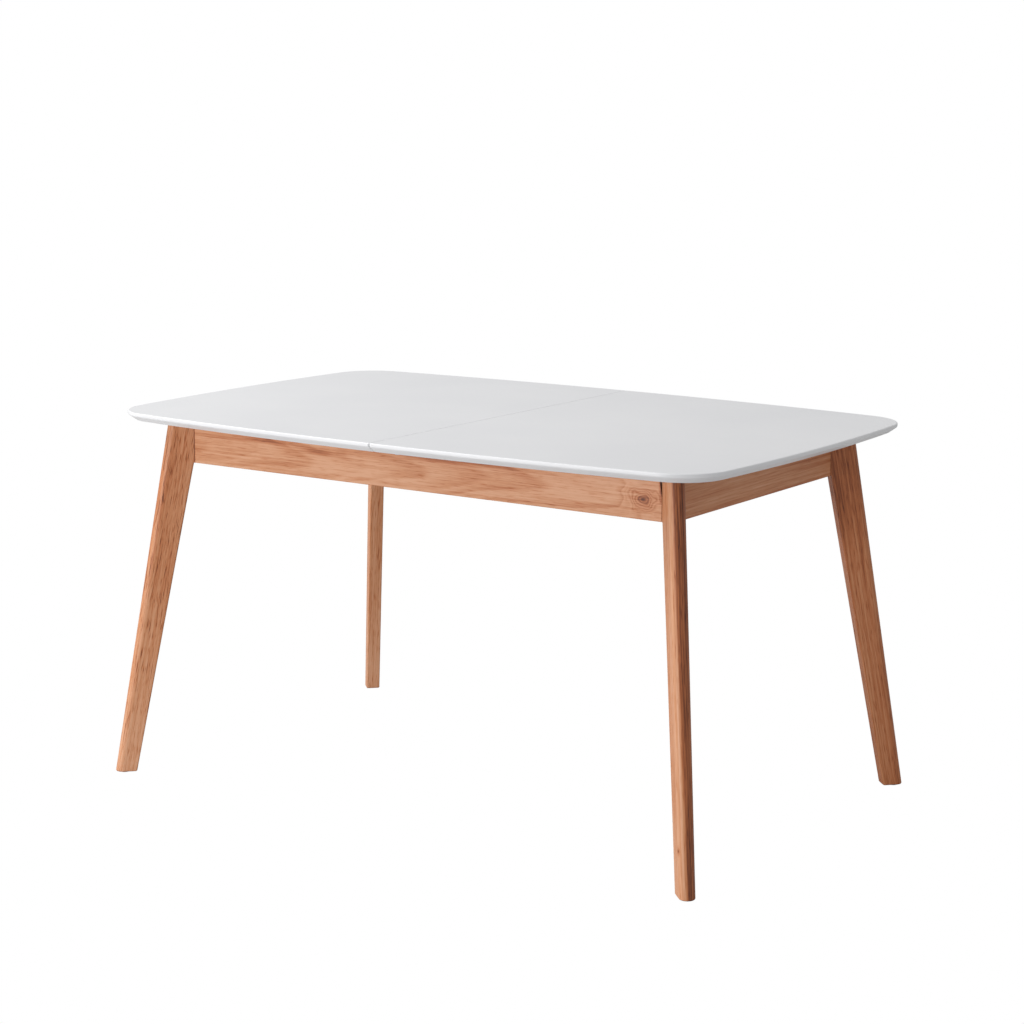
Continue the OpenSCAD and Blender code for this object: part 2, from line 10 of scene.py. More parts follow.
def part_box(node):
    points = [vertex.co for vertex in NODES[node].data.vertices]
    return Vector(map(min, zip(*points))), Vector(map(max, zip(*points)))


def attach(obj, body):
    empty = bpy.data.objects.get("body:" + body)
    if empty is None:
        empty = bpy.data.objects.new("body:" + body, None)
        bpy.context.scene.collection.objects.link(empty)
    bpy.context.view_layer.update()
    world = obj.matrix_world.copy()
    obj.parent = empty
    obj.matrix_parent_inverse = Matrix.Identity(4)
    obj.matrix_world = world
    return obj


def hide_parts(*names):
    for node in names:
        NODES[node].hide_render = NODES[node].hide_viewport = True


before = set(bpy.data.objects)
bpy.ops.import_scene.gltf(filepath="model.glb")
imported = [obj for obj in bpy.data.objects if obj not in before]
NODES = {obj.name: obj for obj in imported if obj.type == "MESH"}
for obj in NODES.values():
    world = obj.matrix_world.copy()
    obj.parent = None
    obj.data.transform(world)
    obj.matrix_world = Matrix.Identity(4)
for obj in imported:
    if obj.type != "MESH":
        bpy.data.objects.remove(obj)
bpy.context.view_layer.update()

# ---- sizes that the frame's boxes give ----

TOP_LO, TOP_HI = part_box("top_right")
HALF_L = TOP_HI.x
HALF_W = TOP_HI.y
TOP_Z = TOP_HI.z
SLAB_Z = TOP_LO.z
SPLIT_X = TOP_LO.x
APRON_LO, APRON_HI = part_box("apron_back")
END_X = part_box("apron_right")[1].x
APRON_Z = APRON_LO.z
FRAME_Z = APRON_HI.z

# ---- top ----

LONG_BOW_R = 5.9          # radius of the bow of the long sides
SHORT_BOW_R = 4.1         # radius of the bow of the short sides
CORNER_R = 0.100
BEVEL_IN = 0.015          # how far the bevel under the rim runs in
BEVEL_H = 0.0105          # its height above the underside
BEVEL_RINGS = (0.003, 0.006, 0.0088)
NOSE_RINGS = ((0.0012, 0.0099), (0.0005, 0.0107), (0.0001, 0.0116), (0.0, 0.0126))
RIM_ROUND = 0.0025        # radius of the rim's upper edge
RIM_STEPS = 8
SPLIT_EASE = 0.0016       # softening of the rim's corners at the split
SPLIT_ROUND = 0.0008      # softening of the upper edge along the split
SPLIT_STEPS = 3           # how many of the rim's steps that takes
SPLIT_SHADOW = 0.0004     # how much each half is drawn back so that the split reads as a line
DOWEL_YS = (-0.330, -0.110, 0.110, 0.330)
DOWEL_HOLE_R = 0.0042
DOWEL_HOLE_END = 0.021    # from the middle of the table
DOWEL_HOLE_START = -0.001

# ---- frame ----

APRON_T = 0.022
LEG_LINE = 0.2535         # how much farther out a leg's axis lies in X than in Y
FOOT_REACH = 0.764        # along the diagonal, at the floor
KNEE_REACH = 0.6445       # along the diagonal, at the aprons' lower edge
FOOT_W, KNEE_W = 0.043, 0.063
FOOT_T, KNEE_T = 0.030, 0.0305
GLIDE_H = 0.0015
FOOT_EASE = 0.0022        # rounding of the foot's lower edge
HEAD_EASE = 0.001         # chamfer of the leg's upper end
SIDE_SHIFT = KNEE_T / math.sqrt(2) + 0.0003    # half a leg across the diagonal, and the glue line
BLOCK_REACH = (2 * (APRON_HI.y - APRON_T) + LEG_LINE - SIDE_SHIFT) / math.sqrt(2)
EDGE_ANGLE = math.radians(40)    # edges that turn more than this stay sharp or get a bevel
LEG_EDGE_ANGLE = math.radians(50)    # the same for the lofted legs

# ---- studio ----

FLOOR_GREY = 0.62         # what the table sees of the floor; the camera sees white
ROOM_GREY = 0.54          # the same for the room
LIGHTS = (                # name, position, target, size, power
    ("key_softbox", (-2.8, -1.6, 3.6), (0, 0, 0.7), (2.4, 2.4), 100),
    ("front_fill", (-1.4, -4.4, 0.9), (0, 0, 0.6), (2.6, 1.4), 68),
    ("overhead", (-0.4, 0.2, 4.4), (0, 0, 0.7), (3.4, 3.0), 16),
)
CAMERA_AT = (2.6325, -3.8337, 1.4238)
CAMERA_AZIMUTH = math.radians(34.354)
CAMERA_PITCH = math.radians(10.607)
CAMERA_ROLL = math.radians(0.234)
CAMERA_LENS = 82.86

# ---- oiled wood ----

RING_WIDTH = 0.0048       # mean width of a year
# From the lightest to the darkest shade
WOOD_STOPS = (
    (0.00, (0.735, 0.385, 0.222, 1)),
    (0.25, (0.625, 0.272, 0.127, 1)),
    (0.50, (0.485, 0.155, 0.052, 1)),
    (0.75, (0.285, 0.078, 0.022, 1)),
    (1.00, (0.110, 0.026, 0.008, 1)),
)


# ---- shader helpers ----

def new_material(name):
    material = bpy.data.materials.new(name)
    material.use_nodes = True
    tree = material.node_tree
    shader = tree.nodes["Principled BSDF"]
    return material, tree, shader


def add(tree, kind, inputs=None, **settings):
    """Adds a node, sets its properties, and feeds its inputs with values or sockets."""
    node = tree.nodes.new(kind)
    for name, value in settings.items():
        setattr(node, name, value)
    for key, value in (inputs or {}).items():
        socket = node.inputs[key]
        if isinstance(value, bpy.types.NodeSocket):
            tree.links.new(value, socket)
        else:
            socket.default_value = value
    return node


def math_node(tree, operation, a, b=0.0):
    return add(tree, "ShaderNodeMath", {0: a, 1: b}, operation=operation).outputs[0]


def scaled(tree, value, factor):
    return math_node(tree, "MULTIPLY", value, factor)


def total(tree, first, *values):
    for value in values:
        first = math_node(tree, "ADD", first, value)
    return first


def mix_colour(tree, factor, a, b, blend="MIX"):
    node = add(tree, "ShaderNodeMix", {0: factor, 6: a, 7: b}, data_type="RGBA", blend_type=blend)
    return node.outputs[2]


def noise(tree, vector, scale, detail=2.0, roughness=0.5, distortion=0.0):
    inputs = {"Vector": vector, "Scale": scale, "Detail": detail, "Roughness": roughness,
              "Distortion": distortion}
    return add(tree, "ShaderNodeTexNoise", inputs).outputs[0]


def remap(tree, value, lo, hi, to_lo=0.0, to_hi=1.0, smooth=False):
    """Maps the range lo to hi onto to_lo to to_hi and clamps what lies outside."""
    kind = "SMOOTHSTEP" if smooth else "LINEAR"
    inputs = {"Value": value, "From Min": lo, "From Max": hi, "To Min": to_lo, "To Max": to_hi}
    return add(tree, "ShaderNodeMapRange", inputs, interpolation_type=kind).outputs[0]


def colour_ramp(tree, factor, stops):
    """Colour between (position, colour) stops, of which the first is at 0 and the last at 1."""
    ramp = add(tree, "ShaderNodeValToRGB", {0: factor})
    elements = ramp.color_ramp.elements
    elements[0].color = stops[0][1]
    elements[1].color = stops[-1][1]
    for position, colour in stops[1:-1]:
        stop = elements.new(position)
        stop.color = colour
    return ramp.outputs[0]


def object_coordinates(tree):
    return add(tree, "ShaderNodeTexCoord").outputs["Object"]


def set_bump(tree, shader, height, distance, strength=1.0):
    bump = add(tree, "ShaderNodeBump", {"Height": height, "Distance": distance, "Strength": strength})
    tree.links.new(bump.outputs[0], shader.inputs["Normal"])


# ---- wood ----

def board_space(tree, origin, along, across):
    """Coordinates measured along the grain, across the board's face and into its depth."""
    along = Vector(along).normalized()
    across = Vector(across)
    across = (across - along * across.dot(along)).normalized()
    depth = along.cross(across)
    inputs = {0: object_coordinates(tree), 1: origin}
    local = add(tree, "ShaderNodeVectorMath", inputs, operation="SUBTRACT").outputs[0]
    axes = []
    for axis in (along, across, depth):
        dot = add(tree, "ShaderNodeVectorMath", {0: local, 1: axis}, operation="DOT_PRODUCT")
        axes.append(dot.outputs["Value"])
    return axes


def stretched(tree, axes, scales):
    """The board's coordinates with each axis scaled, as a vector."""
    parts = {i: scaled(tree, axis, scale) for i, (axis, scale) in enumerate(zip(axes, scales))}
    return add(tree, "ShaderNodeCombineXYZ", parts).outputs[0]


def bell(tree, x, y):
    """One at the origin, falling away as a bell curve."""
    squares = total(tree, math_node(tree, "MULTIPLY", x, x), math_node(tree, "MULTIPLY", y, y))
    return math_node(tree, "EXPONENT", scaled(tree, squares, -1.0))


def knot_field(tree, axes, knot):
    """One over the middle of a knot, falling to nothing away from it."""
    x, y, size = knot
    wobble = noise(tree, stretched(tree, axes, (45, 45, 20)), 1.0, 1.0)
    spread = remap(tree, wobble, 0.3, 0.7, 0.80 / size, 1.20 / size)
    dx = math_node(tree, "MULTIPLY", scaled(tree, math_node(tree, "SUBTRACT", axes[0], x), 0.6), spread)
    dy = math_node(tree, "MULTIPLY", math_node(tree, "SUBTRACT", axes[1], y), spread)
    return bell(tree, dx, dy)


def growth_rings(tree, radius):
    """Slowly darkening rings that end quickly, each year a little different."""
    phase = math_node(tree, "FRACT", radius)
    late = remap(tree, phase, 0.05, 0.80, 0.0, 1.0, smooth=True)
    fade = remap(tree, phase, 0.80, 1.0, 1.0, 0.0)
    inputs = {"W": math_node(tree, "FLOOR", radius)}
    year = add(tree, "ShaderNodeTexWhiteNoise", inputs, noise_dimensions="1D").outputs["Value"]
    darkness = remap(tree, year, 0.0, 1.0, 0.3, 1.0)
    return math_node(tree, "MULTIPLY", math_node(tree, "MULTIPLY", late, fade), darkness)


def end_grain_and_joint_shade(tree, along):
    """One where the surface faces along the grain, where the cut fibres soak up more oil; on the eased ends
    of the aprons this darkening is also painted shade in the joints.
    """
    normal = add(tree, "ShaderNodeTexCoord").outputs["Normal"]
    inputs = {0: normal, 1: Vector(along).normalized()}
    facing = add(tree, "ShaderNodeVectorMath", inputs, operation="DOT_PRODUCT").outputs["Value"]
    return remap(tree, math_node(tree, "ABSOLUTE", facing), 0.25, 0.55)


def oiled_wood(name, origin, along, across, pith=(0.0, 0.09), lean=0.05, figure=0.30, flecks=0.26,
               knots=(), streaks_and_shade=(), painted_side_shade=None, tone_and_shade=0.0, seed=0.0):
    """Oiled rubberwood. pith is where the log's centre lies across and behind the board, lean how
    fast it drifts away along the board, figure and flecks how strongly the rings and the short dark
    vessels show, knots are (along, across, size), the streaks are darker zones (along, across,
    length, height, darkness), some in the wood and some painted shade, the side shade is painted
    shade past a line in the board's depth (depth, drift along the board, darkness) on the side that
    faces away from the lamps, and the tone darkens the whole board, as its own tone or, where a
    board stands in shade, as painted shade."""
    material, tree, shader = new_material(name)
    axes = board_space(tree, origin, along, across)
    seeded = [math_node(tree, "ADD", axes[0], seed), axes[1], axes[2]]

    # Growth rings round a wavering pith, bent round the knots
    drift = noise(tree, stretched(tree, seeded, (2.4, 5, 5)), 1.0, 1.0)
    ripple = noise(tree, stretched(tree, seeded, (6, 26, 26)), 1.0, 2.0)
    sway = total(tree, remap(tree, drift, 0.0, 1.0, -0.040, 0.040),
                 remap(tree, ripple, 0.0, 1.0, -0.006, 0.006))
    to_pith_y = total(tree, axes[1], -pith[0], sway)
    to_pith_z = total(tree, axes[2], pith[1], scaled(tree, axes[0], lean))
    squared = total(tree, math_node(tree, "MULTIPLY", to_pith_y, to_pith_y),
                    math_node(tree, "MULTIPLY", to_pith_z, to_pith_z))
    radius = math_node(tree, "DIVIDE", math_node(tree, "SQRT", squared), RING_WIDTH)
    knot_cores = 0.0
    near_knots = 0.0
    for knot in knots:
        field = knot_field(tree, axes, knot)
        near_knots = total(tree, near_knots, field)
        radius = total(tree, radius, scaled(tree, field, 6.0))
        knot_cores = total(tree, knot_cores, math_node(tree, "POWER", field, 12.0))
    rings = growth_rings(tree, radius)
    strength = total(tree, figure, scaled(tree, near_knots, 0.50))

    # Fibres, vessels and slow changes of tone
    fibre = noise(tree, stretched(tree, seeded, (9, 620, 620)), 1.0, 3.0, 0.6)
    strand = noise(tree, stretched(tree, seeded, (3, 240, 240)), 1.0, 3.0, 0.6)
    vessel = noise(tree, stretched(tree, seeded, (34, 600, 600)), 1.0, 1.0, 0.5)
    vessel = remap(tree, vessel, 0.54, 0.74)
    cloud = noise(tree, stretched(tree, seeded, (3.0, 16, 16)), 1.0, 2.0)
    shade = total(tree, math_node(tree, "MULTIPLY", rings, strength),
                  remap(tree, fibre, 0.3, 0.7, -0.08, 0.10),
                  remap(tree, strand, 0.3, 0.7, -0.14, 0.18),
                  remap(tree, cloud, 0.3, 0.7, -0.10, 0.12),
                  scaled(tree, vessel, flecks), scaled(tree, knot_cores, 0.50),
                  scaled(tree, near_knots, 0.24), tone_and_shade)

    # Darker zones and painted shade, end grain that also paints shade in the joints, and painted shade on
    # one side of a board
    for x, y, length, height, darkness in streaks_and_shade:
        dx = math_node(tree, "DIVIDE", math_node(tree, "SUBTRACT", axes[0], x), length)
        dy = math_node(tree, "DIVIDE", total(tree, axes[1], -y, scaled(tree, sway, 0.12)), height)
        shade = total(tree, shade, scaled(tree, bell(tree, dx, dy), darkness))
    # End grain darkens, partly as oil soaked into the cut fibres and partly as painted shade in the joints
    shade = total(tree, shade, scaled(tree, end_grain_and_joint_shade(tree, along), 0.50))
    # Painted shade: past a line in the board's depth, one side is darkened where it faces away from the
    # lamps
    if painted_side_shade:
        depth, slant, darkness = painted_side_shade
        edge = total(tree, axes[2], -depth, scaled(tree, axes[0], -slant), scaled(tree, sway, 0.06))
        shade = total(tree, shade, remap(tree, edge, -0.002, 0.003, 0.0, darkness, smooth=True))
    tree.links.new(colour_ramp(tree, shade, WOOD_STOPS), shader.inputs["Base Color"])

    roughness = total(tree, remap(tree, strand, 0.3, 0.7, 0.40, 0.50), scaled(tree, vessel, 0.12))
    tree.links.new(roughness, shader.inputs["Roughness"])
    height = total(tree, scaled(tree, fibre, 0.5), scaled(tree, vessel, -0.4), scaled(tree, rings, -0.2))
    set_bump(tree, shader, height, 0.00010)
    shader.inputs["IOR"].default_value = 1.48
    return material


def plain_wood(name, along, across, seed=0.0):
    """Sanded, unfinished wood of the hidden pieces."""
    material, tree, shader = new_material(name)
    axes = board_space(tree, (0, 0, 0), along, across)
    seeded = [math_node(tree, "ADD", axes[0], seed), axes[1], axes[2]]
    wave = noise(tree, stretched(tree, seeded, (3, 30, 30)), 1.0, 2.0)
    phase = math_node(tree, "FRACT", total(tree, scaled(tree, axes[2], 260.0), scaled(tree, wave, 6.0)))
    rings = remap(tree, phase, 0.2, 0.95, 0.0, 1.0, smooth=True)
    fibre = noise(tree, stretched(tree, seeded, (18, 520, 520)), 1.0, 3.0, 0.6)
    shade = total(tree, scaled(tree, rings, 0.45), remap(tree, fibre, 0.3, 0.7, -0.15, 0.35))
    colour = mix_colour(tree, shade, (0.62, 0.44, 0.26, 1), (0.40, 0.23, 0.11, 1))
    tree.links.new(colour, shader.inputs["Base Color"])
    tree.links.new(remap(tree, fibre, 0.3, 0.7, 0.62, 0.78), shader.inputs["Roughness"])
    set_bump(tree, shader, fibre, 0.00015, 0.7)
    return material


# ---- other materials ----

def white_lacquer():
    """Sprayed satin lacquer on fibreboard: a faint orange peel, dust and rub marks."""
    material, tree, shader = new_material("white_lacquer")
    place = object_coordinates(tree)
    peel = noise(tree, place, 420.0, 2.0, 0.45)
    swell = noise(tree, place, 26.0, 1.0)
    cloud = noise(tree, place, 3.2, 3.0, 0.55)
    rub = noise(tree, place, 60.0, 4.0, 0.7, 0.4)
    tint = remap(tree, cloud, 0.35, 0.65)
    wear = remap(tree, rub, 0.62, 0.80, 0.0, 0.25)
    colour = mix_colour(tree, tint, (0.800, 0.803, 0.822, 1), (0.822, 0.824, 0.838, 1))
    colour = mix_colour(tree, wear, colour, (0.770, 0.772, 0.782, 1))
    tree.links.new(colour, shader.inputs["Base Color"])
    roughness = total(tree, remap(tree, cloud, 0.3, 0.7, 0.36, 0.42), remap(tree, rub, 0.4, 0.8, 0.0, 0.07))
    tree.links.new(roughness, shader.inputs["Roughness"])
    height = total(tree, peel, scaled(tree, swell, 2.0))
    set_bump(tree, shader, height, 0.00002)
    shader.inputs["IOR"].default_value = 1.5
    shader.inputs["Coat Weight"].default_value = 0.25
    shader.inputs["Coat Roughness"].default_value = 0.22
    return material


def raw_board():
    """Bare fibreboard inside the dowel holes."""
    material, tree, shader = new_material("raw_board")
    place = object_coordinates(tree)
    fluff = noise(tree, place, 1400.0, 3.0, 0.7)
    colour = mix_colour(tree, fluff, (0.36, 0.25, 0.15, 1), (0.50, 0.38, 0.25, 1))
    tree.links.new(colour, shader.inputs["Base Color"])
    tree.links.new(remap(tree, fluff, 0.2, 0.8, 0.85, 0.95), shader.inputs["Roughness"])
    set_bump(tree, shader, fluff, 0.0002)
    return material


def zinc_steel():
    """Zinc plated steel: faint spangle, dull smears and fine scratches along X."""
    material, tree, shader = new_material("zinc_steel")
    place = object_coordinates(tree)
    spangle = add(tree, "ShaderNodeTexVoronoi", {"Vector": place, "Scale": 420.0}).outputs["Color"]
    smear = noise(tree, place, 45.0, 4.0, 0.65)
    scratch = add(tree, "ShaderNodeMapping", {"Vector": place, "Scale": (40, 900, 900)}).outputs[0]
    scratch = noise(tree, scratch, 1.0, 3.0, 0.7)
    shade = total(tree, scaled(tree, spangle, 0.25), scaled(tree, smear, 0.75))
    colour = mix_colour(tree, shade, (0.50, 0.51, 0.53, 1), (0.72, 0.73, 0.75, 1))
    tree.links.new(colour, shader.inputs["Base Color"])
    roughness = total(tree, remap(tree, smear, 0.3, 0.7, 0.26, 0.40),
                      remap(tree, scratch, 0.5, 0.8, 0.0, 0.1))
    tree.links.new(roughness, shader.inputs["Roughness"])
    set_bump(tree, shader, scratch, 0.00003)
    shader.inputs["Metallic"].default_value = 1.0
    return material


def powder_steel():
    """Black powder coat: a fine grit and slightly greyer worn places."""
    material, tree, shader = new_material("dark_steel")
    place = object_coordinates(tree)
    grit = noise(tree, place, 1600.0, 2.0, 0.6)
    wear = noise(tree, place, 70.0, 4.0, 0.7)
    worn = remap(tree, wear, 0.45, 0.7)
    colour = mix_colour(tree, worn, (0.028, 0.030, 0.033, 1), (0.050, 0.052, 0.056, 1))
    tree.links.new(colour, shader.inputs["Base Color"])
    tree.links.new(remap(tree, wear, 0.3, 0.7, 0.42, 0.56), shader.inputs["Roughness"])
    set_bump(tree, shader, grit, 0.00006)
    return material


def moulded(name, light, dark, rough):
    """Moulded plastic with a fine spark-eroded texture and slight swirls of tone."""
    material, tree, shader = new_material(name)
    place = object_coordinates(tree)
    grain = noise(tree, place, 2400.0, 2.0, 0.5)
    swirl = noise(tree, place, 38.0, 3.0, 0.5, 1.0)
    tree.links.new(mix_colour(tree, swirl, dark, light), shader.inputs["Base Color"])
    tree.links.new(remap(tree, swirl, 0.3, 0.7, rough - 0.05, rough + 0.05), shader.inputs["Roughness"])
    set_bump(tree, shader, grain, 0.00004)
    shader.inputs["IOR"].default_value = 1.52
    return material


def pressed_felt():
    """Felt of mixed pale and dark hairs, clumped here and there."""
    material, tree, shader = new_material("pressed_felt")
    place = object_coordinates(tree)
    hair = noise(tree, place, 1800.0, 4.0, 0.75, 1.5)
    clump = noise(tree, place, 260.0, 2.0)
    colour = mix_colour(tree, hair, (0.30, 0.27, 0.23, 1), (0.62, 0.57, 0.50, 1))
    colour = mix_colour(tree, remap(tree, clump, 0.3, 0.7, 0.0, 0.4), colour, (0.36, 0.33, 0.29, 1))
    tree.links.new(colour, shader.inputs["Base Color"])
    tree.links.new(remap(tree, hair, 0.2, 0.8, 0.88, 0.98), shader.inputs["Roughness"])
    set_bump(tree, shader, hair, 0.0004)
    shader.inputs["Sheen Weight"].default_value = 0.3
    return material


# ---- mesh helpers ----

def arc(centre, radius, start, end, count):
    step = (end - start) / count
    return [Vector((centre[0] + radius * math.cos(start + step * i),
                    centre[1] + radius * math.sin(start + step * i))) for i in range(count + 1)]


def make_object(name, bm, materials):
    bmesh.ops.recalc_face_normals(bm, faces=bm.faces)
    mesh = bpy.data.meshes.new(name)
    bm.to_mesh(mesh)
    bm.free()
    for material in materials:
        mesh.materials.append(material)
    mesh.polygons.foreach_set("use_smooth", [True] * len(mesh.polygons))
    obj = bpy.data.objects.new(name, mesh)
    bpy.context.scene.collection.objects.link(obj)
    return obj


def weighted_normals(obj):
    modifier = obj.modifiers.new("flat faces stay flat", "WEIGHTED_NORMAL")
    modifier.mode = "FACE_AREA"
    modifier.keep_sharp = True


def bridge(bm, lower, upper):
    count = len(lower)
    for i in range(count):
        j = (i + 1) % count
        bm.faces.new((lower[i], lower[j], upper[j], upper[i]))


def apply_modifiers(obj):
    """Bakes an object's modifiers into its mesh."""
    bpy.context.view_layer.update()
    graph = bpy.context.evaluated_depsgraph_get()
    mesh = bpy.data.meshes.new_from_object(obj.evaluated_get(graph))
    obj.modifiers.clear()
    obj.data = mesh


# ---- top ----

def corner_centre():
    """The corner circle touches both bow circles from inside."""
    c1 = Vector((0, HALF_W - LONG_BOW_R))
    c2 = Vector((HALF_L - SHORT_BOW_R, 0))
    r1 = LONG_BOW_R - CORNER_R
    r2 = SHORT_BOW_R - CORNER_R
    span = c2 - c1
    length = span.length
    along = (r1 * r1 - r2 * r2 + length * length) / (2 * length)
    off = math.sqrt(r1 * r1 - along * along)
    return c1 + span * (along / length) + Vector((span.y, -span.x)) * (off / length)


def half_outline(inset, split_x):
    """Outline of the right half, drawn in by inset, from the back of the split round to its front."""
    c1 = Vector((0, HALF_W - LONG_BOW_R))
    c2 = Vector((HALF_L - SHORT_BOW_R, 0))
    c = corner_centre()
    a1 = math.atan2(c.y - c1.y, c.x - c1.x)
    a2 = math.atan2(c.y - c2.y, c.x - c2.x)
    a_split = math.acos(split_x / (LONG_BOW_R - inset))
    points = arc(c1, LONG_BOW_R - inset, a_split, a1, 16)
    corner = points[0]
    points[0] = Vector((split_x, corner.y - SPLIT_EASE))
    points.insert(1, Vector((split_x + SPLIT_EASE, corner.y)))
    points += arc(c, CORNER_R - inset, a1, a2, 28)[1:]
    points += arc(c2, SHORT_BOW_R - inset, a2, 0, 8)[1:]
    return points + [Vector((p.x, -p.y)) for p in reversed(points[:-1])]


def top_profile():
    """(inset at the rim, inset at the split, height) from the underside up to the flat top."""
    rise = TOP_Z - SLAB_Z
    slope = BEVEL_IN / BEVEL_H
    rows = [(BEVEL_IN, 0.0004, 0.0), (BEVEL_IN - 0.0006, 0.0001, 0.0003)]
    rows += [((BEVEL_H - height) * slope, 0.0, height) for height in BEVEL_RINGS]
    rows += [(inset, 0.0, height) for inset, height in NOSE_RINGS]
    for i in range(RIM_STEPS + 1):
        a = math.pi / 2 * i / RIM_STEPS
        progress = max(0.0, 1 - (RIM_STEPS - i) / SPLIT_STEPS)
        rows.append((RIM_ROUND * (1 - math.cos(a)), SPLIT_ROUND * progress ** 2,
                     rise - RIM_ROUND * (1 - math.sin(a))))
    return rows


def top_half(name, side, lacquer, bare):
    """Half of the top, on the side +1 (right) or -1 (left)."""
    bm = bmesh.new()
    rings = []
    for inset, split_inset, height in top_profile():
        outline = half_outline(inset, SPLIT_X + SPLIT_SHADOW + split_inset)
        rings.append([bm.verts.new((side * p.x, p.y, SLAB_Z + height)) for p in outline])
    for lower, upper in zip(rings, rings[1:]):
        bridge(bm, lower, upper)
    bm.faces.new(rings[0])
    bm.faces.new(rings[-1])
    obj = make_object(name, bm, [lacquer, bare])
    drill_split(obj, side, bare)
    obj.data.set_sharp_from_angle(angle=EDGE_ANGLE)
    weighted_normals(obj)
    return obj


def drill_split(obj, side, bare):
    """Cuts the holes of the alignment dowels into the face at the split."""
    bm = bmesh.new()
    middle = side * (DOWEL_HOLE_START + DOWEL_HOLE_END) / 2
    turn = Matrix.Rotation(math.pi / 2, 4, "Y")
    for y in DOWEL_YS:
        place = Matrix.Translation((middle, y, (TOP_Z + SLAB_Z) / 2)) @ turn
        bmesh.ops.create_cone(bm, cap_ends=True, segments=28, radius1=DOWEL_HOLE_R, radius2=DOWEL_HOLE_R,
                              depth=DOWEL_HOLE_END - DOWEL_HOLE_START, matrix=place)
    cutter = make_object("dowel_hole_cutter", bm, [bare])
    modifier = obj.modifiers.new("dowel holes", "BOOLEAN")
    modifier.object = cutter
    modifier.operation = "DIFFERENCE"
    modifier.material_mode = "TRANSFER"
    apply_modifiers(obj)
    bpy.data.objects.remove(cutter)


# ---- legs ----

def leg_section(inner, outer, thickness, corner=0.003):
    """Flat inner edge with eased corners and a fully rounded outer edge, in the leg's own plane."""
    half = thickness / 2
    points = arc((outer - half, 0), half, -math.pi / 2, math.pi / 2, 24)
    points += arc((inner + corner, half - corner), corner, math.pi / 2, math.pi, 5)
    points += arc((inner + corner, corner - half), corner, math.pi, 3 * math.pi / 2, 5)
    return points


def leg_at(z):
    """Inner edge, outer edge and thickness of the leg at height z, without its head."""
    t = (z - GLIDE_H) / (APRON_Z - GLIDE_H)
    middle = FOOT_REACH + (KNEE_REACH - FOOT_REACH) * t
    half = (FOOT_W + (KNEE_W - FOOT_W) * t) / 2
    return middle - half, middle + half, FOOT_T + (KNEE_T - FOOT_T) * min(t, 1.0)


def leg_rows():
    """(height, inner edge, outer edge, thickness) of the rings that the leg is lofted from."""
    foot_steps = 4
    shaft_steps = 14
    rows = []
    for i in range(foot_steps + 1):
        a = math.pi / 2 * i / foot_steps
        draw = FOOT_EASE * (1 - math.sin(a))
        z = GLIDE_H + FOOT_EASE * (1 - math.cos(a))
        inner, outer, thickness = leg_at(z)
        rows.append((z, inner + draw, outer - draw, thickness - 2 * draw))
    shaft_z = GLIDE_H + FOOT_EASE
    for i in range(1, shaft_steps + 1):
        z = shaft_z + (APRON_Z - shaft_z) * i / shaft_steps
        rows.append((z, *leg_at(z)))
    for z in (APRON_Z + 0.0002, APRON_Z + 0.030, APRON_Z + 0.060, FRAME_Z - 0.0012):
        inner, outer, thickness = leg_at(z)
        rows.append((z, BLOCK_REACH, outer, thickness))
    inner, outer, thickness = leg_at(FRAME_Z)
    rows.append((FRAME_Z, BLOCK_REACH + HEAD_EASE, outer - HEAD_EASE, thickness - 2 * HEAD_EASE))
    return rows


def leg(name, sx, sy, material):
    """A leg lofted along the diagonal of its quarter."""
    bm = bmesh.new()
    unit = math.sqrt(0.5)
    rings = []
    for z, inner, outer, thickness in leg_rows():
        ring = []
        for p in leg_section(inner, outer, thickness):
            x = (p.x - p.y) * unit + LEG_LINE / 2
            y = (p.x + p.y) * unit - LEG_LINE / 2
            ring.append(bm.verts.new((sx * x, sy * y, z)))
        rings.append(ring)
    for lower, upper in zip(rings, rings[1:]):
        bridge(bm, lower, upper)
    bm.faces.new(rings[0])
    bm.faces.new(rings[-1])
    obj = make_object(name, bm, [material])
    obj.data.set_sharp_from_angle(angle=LEG_EDGE_ANGLE)
    weighted_normals(obj)
    return obj


def leg_axis(sx, sy):
    """Unit vectors up the leg and outward along its diagonal."""
    reach = (KNEE_REACH - FOOT_REACH) * math.sqrt(0.5)
    up = Vector((sx * reach, sy * reach, APRON_Z)).normalized()
    out = Vector((sx, sy, 0)).normalized()
    return up, out


# ---- CAD nodes that stay ----

def dress(names, material, bevel=0.0):
    """Gives CAD nodes a material and edges eased by bevel."""
    for name in names:
        obj = NODES[name]
        obj.data.materials.clear()
        obj.data.materials.append(material)
        weld = obj.modifiers.new("one skin", "WELD")
        weld.merge_threshold = 0.00001
        if bevel > 0:
            modifier = obj.modifiers.new("eased edges", "BEVEL")
            modifier.width = bevel
            modifier.segments = 3
            modifier.limit_method = "ANGLE"
            modifier.angle_limit = EDGE_ANGLE
            modifier.harden_normals = True


# ---- build ----

def build_tops():
    lacquer = white_lacquer()
    bare = raw_board()
    for name, side, body in (("top_right", 1, "half_right"), ("top_left", -1, "half_left")):
        piece = top_half(name + "_slab", side, lacquer, bare)
        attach(piece, body)
        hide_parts(name)
    dress(("leaf_panel_a", "leaf_panel_b"), lacquer, 0.0008)


